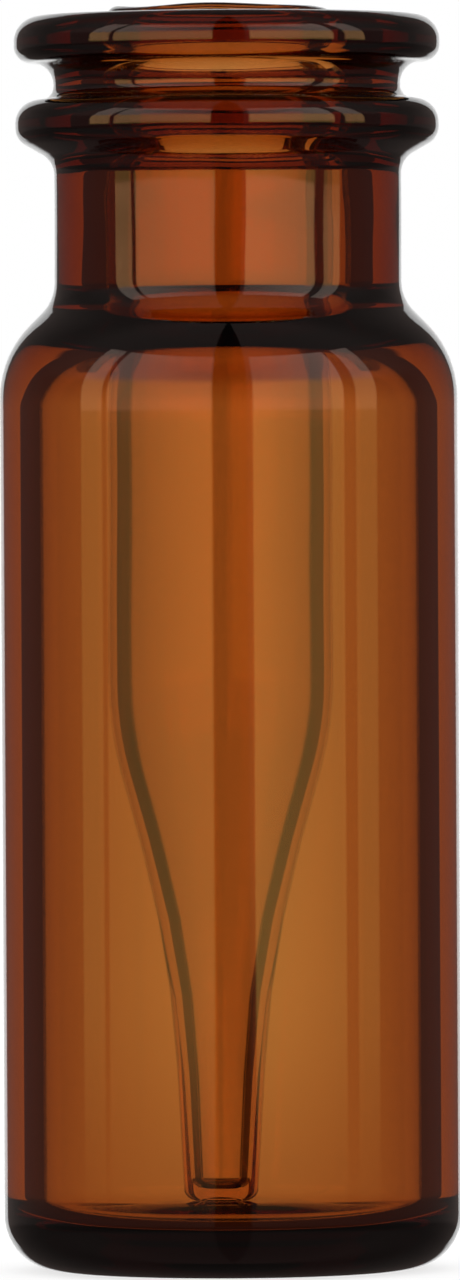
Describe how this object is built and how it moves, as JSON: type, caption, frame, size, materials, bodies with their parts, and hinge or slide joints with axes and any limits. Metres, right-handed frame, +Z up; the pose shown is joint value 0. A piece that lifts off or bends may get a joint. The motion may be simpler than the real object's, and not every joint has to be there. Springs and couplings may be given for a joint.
{
  "type": "glass sample vial",
  "caption": "Small open sample vial in amber glass with a snap ring and flange at its mouth, holding a clear glass micro insert with a long conical foot.",
  "frame": {"origin": "centre of the foot ring that the vial stands on, on the vial's axis", "axes": "+Z up along the vial's axis from its base to its mouth; the insert stands a little towards -X of that axis"},
  "size_m": [0.0116, 0.0116, 0.0321],
  "materials": {
    "amber_glass": "clear amber-brown borosilicate glass, fire-polished, smooth gloss",
    "clear_glass": "clear colourless borosilicate glass, drawn and fire-polished, smooth gloss"
  },
  "bodies": {
    "root": {"vial_body": "amber_glass", "micro_insert": "clear_glass"}
  },
  "joints": []
}
